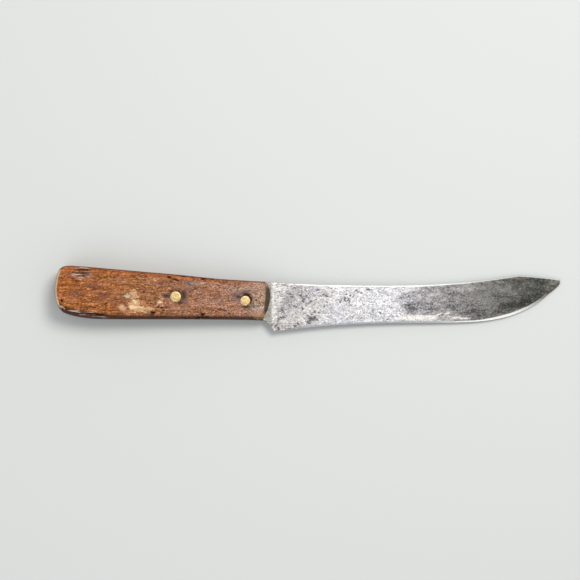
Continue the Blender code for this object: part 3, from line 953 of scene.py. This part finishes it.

# %% [markdown]
# ## Marks of use on the wood
#
# The handle has a pale worn patch with two bare spots, a knot, black iron stain and packed dirt round the
# rivets, torn grey fibres at the corners of the butt, and dark holes. They are listed and stored as
# the marks on the steel are. The hollows are the deeper splits, so their colour stays in the dents.

# %% Marks of use on the wood
OPEN_DEPTH = 0.5              # a split at least this deep, in mm, is dark inside
WOOD_MARKS = {
    "pale": (0.25, 1.25, 2.6, [
        (-76.5, -2.4, 3.6, 4.6, -20), (-75, -5.2, 7, 2.4, -6), (-84, -4.6, 2.6, 3.0, 10),
        (-79, 2.6, 4.6, 3.0), (-69, -4.8, 4, 1.4, -12), (-78.6, 6.0, 1.3, 0.8), (-75.2, 7.0, 1.6, 0.7),
        (-72.4, -6.7, 2.0, 1.0), (-61.8, -2.0, 2.4, 1.9), (-60.4, 0.6, 2.6, 0.8, -25),
        (-67.2, -1.8, 1.6, 0.9), (-121.8, 0.4, 1.8, 0.4, -25), (-121.0, -4.0, 3.0, 0.5, -40)]),
    "core": (0.3, 1.2, 2.0, [
        (-76.8, -1.0, 1.8, 1.7, -30), (-78.4, -4.6, 3.0, 1.6, -5), (-74.4, -4.0, 2.6, 0.9, -8),
        (-72.4, -6.7, 1.3, 0.7), (-61.9, -1.6, 1.0, 0.8)]),
    "knot": (0.2, 1.2, 1.5, [(-81.6, 2.3, 3.0, 2.6, 10)]),
    "speck": (0.3, 1.15, 0.7, [
        (-65.0, 0.5, 0.7, 0.9), (-64.0, -1.8, 0.5, 1.2), (-59.5, -1.4, 0.6, 1.2), (-60.9, -4.5, 1.0, 0.6),
        (-60.0, -6.0, 0.8, 0.6), (-63.2, -4.3, 0.9, 0.6), (-67.8, -0.4, 1.0, 0.6, 60),
        (-62.0, 0.8, 1.1, 0.4), (-62.8, -3.0, 0.5, 0.6), (-60.8, -2.4, 0.4, 0.7), (-63.0, -0.4, 0.5, 0.4),
        (-60.6, -0.2, 0.4, 0.6), (-66.0, -8.6, 2.6, 0.8, 5), (-58.4, -3.6, 0.5, 0.6),
        (-52.0, 12.0, 3.2, 0.5, -24), (-120.1, -0.4, 0.4, 0.9), (-111.2, 11.1, 1.6, 0.5, -8)]),
    "iron": (0.1, 1.2, 2.0, [
        (-58.8, 2.6, 3.0, 1.8, 8), (-47.6, 3.0, 2.0, 4.4, 8), (-47.6, -1.2, 2.4, 2.0),
        (-45.6, 8.8, 3.6, 2.4, -25), (-52.8, 1.9, 4.4, 4.3), (-11.0, 0, 5.4, 4.4),
        (-6.4, -4.4, 3.6, 2.4, -30), (-16.5, 2.2, 4.6, 3.4), (-10, -5.2, 4.6, 1.6, -8), (-12, 5.0, 7, 2.2),
        (-43.6, 10.4, 5.6, 1.6, -12)]),
    "dirt": (0.2, 1.15, 0.8, [
        (-58.0, 2.5, 2.6, 1.7), (-48.2, 3.0, 2.0, 4.0, 5), (-50.4, -1.9, 2.6, 1.3, 20),
        (-55.2, 5.4, 2.4, 0.9, 30), (-10.8, 3.4, 4.4, 1.3, -8), (-8.0, 0.8, 1.0, 2.0),
        (-11.0, -4.0, 3.8, 1.2), (-6.4, -3.9, 2.4, 1.2, -35), (-15.6, 1.8, 1.8, 1.2)]),
    "greyed": (0.2, 1.2, 2.2, [
        (-3.0, 1.0, 4.0, 7.0), (-14, 7.0, 8, 1.6), (-4, -4.5, 5, 3.4), (-45.0, 9.4, 2.8, 0.7, -50),
        (-42.0, 9.6, 2.4, 0.6, -45), (-37.5, 9.8, 3.6, 0.6, -8)]),
    "lifted": (0.4, 1.15, 0.8, [
        (-108.5, 15.2, 6.5, 2.2), (-108.0, 12.4, 4.5, 1.0, -4), (-108.5, 19.2, 7.0, 0.9, -2),
        (-100.5, -8.6, 8.5, 1.2, -12), (-111.0, -7.2, 6.0, 1.4, -14), (-94, -10.4, 3, 0.5, -8),
        (-34.0, -8.2, 0.8, 1.2), (-38.4, -11.0, 1.3, 0.6), (-4.0, -11.2, 0.9, 0.5)]),
    "dusk": (0.2, 1.2, 3.0, [
        (-114, 15.0, 4.6, 2.6), (-106, 15.4, 4.6, 2.2), (-95.4, 3.4, 7.0, 1.9), (-104, -9.2, 15, 1.6, -5),
        (-86, -8.4, 5, 1.8), (-112, 4, 6, 3), (-92, 1.4, 10, 1.3), (-84, -2.2, 5, 0.9), (-98, 8.6, 8, 1.3),
        (-60, 10.6, 8, 1.0, -6), (-72, -9.2, 9, 1.2), (-50, -9.6, 9, 1.0)]),
    "hollow": (0.5, 1.15, 0.45, [split[:5] for split in SPLITS if split[5] >= OPEN_DEPTH]),
    "ochre": (0.3, 1.2, 2.0, [(-2.6, -9.6, 4.2, 2.6, 10)])}

mark_piece(handle, WOOD_MARKS, wood_rim, 0.31, -124.0, kept=("iron", "dirt", "greyed"))
print("marks on the wood:", {name: len(mark[3]) for name, mark in WOOD_MARKS.items()})

# %% [markdown]
# ## Grain of the wood
#
# The wood is old beech or maple: orange-brown and greasy at the butt, and greyer and pinker towards the
# blade, where it was washed. The grain could be a ready-made wave texture, but real grain is uneven. So
# fibres, streaks and pores are each a noise stretched along the handle.

# %% Grain of the wood
def wood_places(wood):
    """Where a point lies on the handle, and noises from slow drift down to fibres, pores and scratches."""
    at = SimpleNamespace(place=wood.drawing())
    at.x, at.y, at.z = wood.split(at.place)
    at.to_spine, at.to_belly, at.to_butt = [wood.remembered(name) for name in distances]
    at.drift = wood.noise(at.place, (0.03, 0.10, 0.10), 3.0, 0.5)
    at.streak = wood.noise(at.place, (0.045, 0.55, 0.55), 5.0, 0.6, 0.3, 5.0)
    at.fibre = wood.noise(at.place, (0.13, 1.05, 1.05), 5.0, 0.68, 0.4, 9.0)
    at.curl = wood.noise(at.place, (0.55, 1.3, 1.3), 4.0, 0.6, 1.2, 13.0)
    at.pore = wood.noise(at.place, (0.20, 1.45, 1.45), 3.0, 0.6, 0.3, 17.0)
    at.scratch = wood.noise(at.place, (1.0, 2.1, 2.1), 2.0, 0.5, 0.3, 27.0)
    at.patchy = wood.noise(at.place, (0.10, 0.22, 0.22), 4.0, 0.6, 0.4, 21.0)
    return at


def wood_grain(wood, at):
    """Colour along the handle, then darker and lighter streaks, patches, curls, fibres, pores and grease."""
    streak, fibre, curl, patchy = at.streak, at.fibre, at.curl, at.patchy
    along = (at.x + 14.0 * (at.drift - 0.5) + 125.0) / 130.0
    wood.colour = wood.gradient(along, [
        (0.0, (152, 87, 36)), (0.10, (150, 88, 41)), (0.24, (144, 87, 47)), (0.42, (144, 94, 59)),
        (0.58, (141, 98, 72)), (0.72, (149, 110, 92)), (0.86, (150, 113, 96)), (1.0, (160, 134, 116))])
    wood.coat(streak.between(0.52, 0.70) * 0.55, (122, 74, 48))
    wood.coat(streak.between(0.46, 0.30) * 0.45, (196, 136, 88))
    wood.coat(patchy.between(0.50, 0.68) * 0.38, (140, 98, 84))
    wood.coat(curl.between(0.56, 0.72) * 0.42, (208, 160, 122))
    wood.coat(curl.between(0.42, 0.28) * 0.50, (112, 66, 44))
    wood.coat(fibre.between(0.46, 0.32) * 0.45, (112, 64, 42))
    wood.coat(fibre.between(0.56, 0.72) * 0.45, (204, 146, 96))
    wood.coat(patchy.between(0.48, 0.34) * 0.5, (178, 104, 42))
    washed = at.x.between(-62.0, -36.0)
    wood.coat(at.pore.between(0.60, 0.72) * (0.42 - 0.26 * washed), (98, 54, 32))
    at.greasy = at.to_spine.between(3.6, 1.8) * at.x.between(1.0, -24.0) * (0.5 + 1.4 * (patchy - 0.35))
    wood.coat(at.greasy.math("MINIMUM", 0.85), (156, 86, 42))
    tone = 0.96 + (2.2 - 1.1 * washed) * (fibre - 0.5) + (3.6 - 0.8 * washed) * (curl - 0.5)
    tone = tone + 1.4 * (streak - 0.5) + 1.6 * (patchy - 0.5) + (2.6 + 0.8 * washed) * (at.scratch - 0.5)
    wood.shade(tone)


wood = Finish("old_handle_wood")
on_handle = wood_places(wood)
wood_grain(wood, on_handle)
print("wood so far:", len(wood.tree.nodes), "nodes")

# %% [markdown]
# ## Worn places
#
# The rounded sides are painted darker, as shade with some grime. Hands rub the corner of the butt pale. On
# the cheek a patch has lost its oil.
# A mark's even ellipse would look painted on, so noise is added to each before a threshold cuts its outline.

# %% Worn places
def wood_wear(wood, at):
    """Painted shade with grime on the rounded sides, the butt's pale corner, the pale patch with its bare
    core, the knot.
    """
    curl, patchy = at.curl, at.patchy
    # painted shade, with some grime, on the rounded belly side and along the spine's edge
    under = at.to_belly - 1.9 * at.x.between(-80.0, -110.0)
    side_shade_and_grime = (at.to_spine.between(1.2, 0.2) * 0.6).math("MAXIMUM", under.between(3.3, 1.2) * 0.88)
    wood.coat(side_shade_and_grime, (46, 28, 20))
    corner = (at.to_butt + 0.8 * (patchy - 0.5)).between(1.9, 1.1) * at.to_butt.between(0.1, 0.6)
    on_cheek = at.z.math("ABSOLUTE").between(6.0, 8.6)
    worn_corner = corner * on_cheek * at.to_spine.between(0.6, 2.4) * at.to_belly.between(0.8, 3.0)
    worn_corner = worn_corner * (0.85 + 1.2 * (curl - 0.5))
    wood.coat(worn_corner.math("MAXIMUM", 0.0), (222, 180, 142))

    at.torn = 1.7 * (curl - 0.5) + 1.1 * (at.scratch - 0.5) + 0.8 * (at.fibre - 0.5)
    at.pale = wood.remembered("pale")
    wood.coat((at.pale + at.torn).between(0.30, 0.80) * at.pale.between(0.0, 0.2) * 0.6, (216, 176, 136))
    core = wood.remembered("core")
    wood.coat((core + at.torn).between(0.30, 0.80) * core.between(0.0, 0.2) * 0.85, (232, 200, 152))
    knot = wood.remembered("knot")
    ring = knot.between(0.1, 0.35) * knot.between(0.85, 0.5)
    wood.coat(ring * (0.9 + at.torn) * 0.7, (108, 100, 78))
    wood.coat(knot.between(0.5, 0.8) * (0.5 + at.torn).between(0.3, 0.7) * 0.7, (206, 190, 154))


wood_wear(wood, on_handle)
print("wood so far:", len(wood.tree.nodes), "nodes")

# %% [markdown]
# ## Stains and torn fibres
#
# Wet iron turns the tannin in wood black, so the stain is darkest round the rivets and in the fibres. Where
# the corner of the butt has splintered, slivers stand up, silver-grey on top and dark between. Those are
# too thin for the mesh's grid, so a noise stretched along the grain draws them inside the marks.

# %% Stains and torn fibres
def wood_stains(wood, at):
    """Iron stain, dirt, greyed wood, dusk, slivers, specks, hollows, and one ochre spot beside the blade."""
    stain = wood.remembered("iron") * (0.62 + 1.6 * (at.fibre - 0.46)).math("MAXIMUM", 0.25)
    wood.coat(stain.math("MINIMUM", 0.88), (92, 81, 82))
    wood.coat(wood.remembered("dirt") * (0.85 + 0.5 * at.torn), (46, 36, 36))
    greyed = wood.remembered("greyed") * (0.5 + at.torn).between(0.3, 0.7)
    wood.coat(greyed * 0.5, (200, 184, 164))

    at.lifted = wood.remembered("lifted")
    wood.coat(wood.remembered("dusk") * 0.7 * at.fibre.between(0.34, 0.52), (96, 60, 54))
    sliver = wood.noise(at.place, (0.09, 1.15, 1.15), 3.0, 0.6, 0.2, 41.0)
    wood.coat(at.lifted * sliver.between(0.46, 0.38), (52, 32, 30))
    wood.coat(at.lifted * sliver.between(0.51, 0.57) * 0.9, (218, 198, 184))
    wood.coat(wood.remembered("speck") * 0.8, (62, 36, 24))
    at.hollow = wood.remembered("hollow")
    wood.coat(at.hollow * 0.94, (26, 14, 12))
    wood.coat(wood.remembered("ochre") * 0.5, (176, 142, 92))


wood_stains(wood, on_handle)
print("wood so far:", len(wood.tree.nodes), "nodes")

# %% [markdown]
# ## End grain
#
# At both ends the fibres are cut across. The slanted front is coloured nearly black. The butt shows the
# curved growth rings, which are circles round a pith that lies outside the handle: a sine of the distance
# from that line draws them.

# %% End grain, and the whole wood
PITH_Y, PITH_Z = -14.0, -26.0           # the line that the growth rings go round


def wood_ends(wood, at):
    """Dark end grain on the slanted front, and growth rings on the butt."""
    x, y, curl = at.x, at.y, at.curl
    # the slanted front face is coloured nearly black
    front = (x - 0.08 * y + 0.9 * (curl - 0.5)).between(-0.1, 0.7)
    front = front * y.between(9.0, 6.6) * y.between(-9.2, -6.6)
    end_grain = wood.noise(at.place, (2.2, 0.7, 1.0), 4.0, 0.65, 0.4, 31.0)
    wood.coat(front, wood.mix(end_grain.between(0.3, 0.7), paint(48, 42, 36), paint(98, 90, 80)))

    butt_end = at.to_butt.between(0.3, 0.05)
    pith = wood.noise(at.place, (0.8, 1.3, 1.3), 5.0, 0.7, 0.3, 51.0)
    end_wood = wood.mix(pith.between(0.3, 0.7), paint(70, 42, 28), paint(150, 102, 64))
    from_pith = ((y - PITH_Y) * (y - PITH_Y) + (at.z - PITH_Z) * (at.z - PITH_Z)).math("SQRT")
    rings = (from_pith * 2.2 + 5.0 * (at.patchy - 0.5)).math("SINE").between(0.1, 0.95)
    wood.coat(butt_end * 0.85, wood.mix(rings * 0.5, end_wood, paint(72, 42, 26)))


def wood_surface(wood, at):
    """Duller on fibres and on the pale patch, smoother where greasy, with ridges and slivers as bump."""
    rough = 0.62 + 0.22 * (at.fibre - 0.5) + 0.12 * at.pale - 0.14 * at.greasy
    ridges = wood.bump(at.fibre * 0.7 + at.curl * 0.5 - at.pore.between(0.62, 0.74) * 0.6, 0.5, 0.00025)
    broken = wood.bump(at.lifted * at.fibre.between(0.42, 0.58) - at.hollow, 0.6, 0.0004, ridges)
    return wood.finish(Base_Color=wood.colour, Roughness=rough, Specular_IOR_Level=0.12, Normal=broken)


wood_ends(wood, on_handle)
handle.data.materials.clear()
handle.data.materials.append(wood_surface(wood, on_handle))
print("wood:", len(wood.tree.nodes), "nodes")

# %% [markdown]
# ## Brass
#
# The heads are pale, almost straw coloured, because handling keeps rubbing their tarnish off. It stays in
# the hammer marks and at the rim. A plain yellow metal would look new, so the tarnish is laid on with
# noise.

# %% Brass
def brass_finish():
    """Two tones of brass in soft patches, fine dark grain, and brown pits that are rougher than the rest."""
    brass = Finish("worn_brass")
    place = brass.drawing()
    grain = brass.noise(place, (1.4, 1.5, 1.4), 4.0, 0.6)
    fine = brass.noise(place, (4.0, 4.5, 4.0), 3.0, 0.6, shift=4.0)
    brass.colour = brass.mix(grain.between(0.35, 0.65), paint(189, 159, 103), paint(210, 187, 139))
    brass.coat(fine.between(0.56, 0.72) * 0.5, (168, 130, 72))
    pit = brass.noise(place, (0.8, 0.9, 0.8), 2.0, 0.5, shift=37.0).between(0.60, 0.70)
    brass.coat(pit * 0.6, (150, 118, 62))
    rough = 0.42 + 0.3 * (grain - 0.5) + 0.2 * pit
    surface = brass.bump(grain + 0.5 * fine - pit, 0.35, 0.0002)
    return brass.finish(Base_Color=brass.colour, Roughness=rough, Metallic=0.82, Normal=surface)


brass = brass_finish()
for piece in rivets:
    piece.data.materials.append(brass)
print("finishes:", [material.name for material in (steel.material, wood.material, brass)])

# %% [markdown]
# ## Floor, light and camera
#
# The knife lies on a plain pale floor. A large soft light stands high at the upper right, so that the
# shadows fall a little below the knife and to its left, and an even pale world fills them. The camera looks
# straight down from far away through a long lens, which keeps the outline true.

# %% Stage
VIEW_WIDTH = 0.3460           # what the camera's view spans at the knife's middle height, in metres
CAMERA_HEIGHT, MIDDLE_HEIGHT = 1.5, 0.006
SENSOR_WIDTH = 36.0
FLOOR_HALF, FLOOR_HEIGHT = 1.5, -0.0003


def flat_square(name, half, height):
    """A level square at a height, its middle over the world's zero."""
    mesh = bpy.data.meshes.new(name)
    corners = [(-half, -half, height), (half, -half, height), (half, half, height), (-half, half, height)]
    mesh.from_pydata(corners, [], [(0, 1, 2, 3)])
    made = bpy.data.objects.new(name, mesh)
    bpy.context.collection.objects.link(made)
    return made


def soft_light(name, place, size, power, colour):
    """A square lamp at a place, turned so that it shines on the knife."""
    lamp = bpy.data.lights.new(name, "AREA")
    lamp.size, lamp.energy, lamp.color = size, power, colour
    made = bpy.data.objects.new(name, lamp)
    made.location = place
    made.rotation_euler = (-made.location).to_track_quat("-Z", "Y").to_euler()
    bpy.context.collection.objects.link(made)
    return made


floor = flat_square("pale_floor", FLOOR_HALF, FLOOR_HEIGHT)
floor_finish = Finish("pale_floor")
floor_finish.finish(Base_Color=paint(206, 208, 206), Roughness=0.9)
floor.data.materials.append(floor_finish.material)

soft_light("key", (0.30, 0.48, 1.05), 0.45, 9.0, (1.0, 0.98, 0.95))
soft_light("fill", (-0.7, -0.5, 0.8), 0.8, 2.0, (0.95, 0.98, 1.0))
world = bpy.data.worlds.new("pale_room")
world.use_nodes = True
world.node_tree.nodes["Background"].inputs["Color"].default_value = (0.62, 0.63, 0.64, 1.0)
bpy.context.scene.world = world
bpy.context.scene.view_settings.view_transform = "Standard"

camera = bpy.data.objects.new("camera", bpy.data.cameras.new("camera"))
camera.data.sensor_width = SENSOR_WIDTH
camera.data.lens = SENSOR_WIDTH * (CAMERA_HEIGHT - MIDDLE_HEIGHT) / VIEW_WIDTH
camera.location = (-0.0109, 0.0049, CAMERA_HEIGHT)
bpy.context.collection.objects.link(camera)
bpy.context.scene.camera = camera
print("lens:", round(camera.data.lens, 1), "mm")
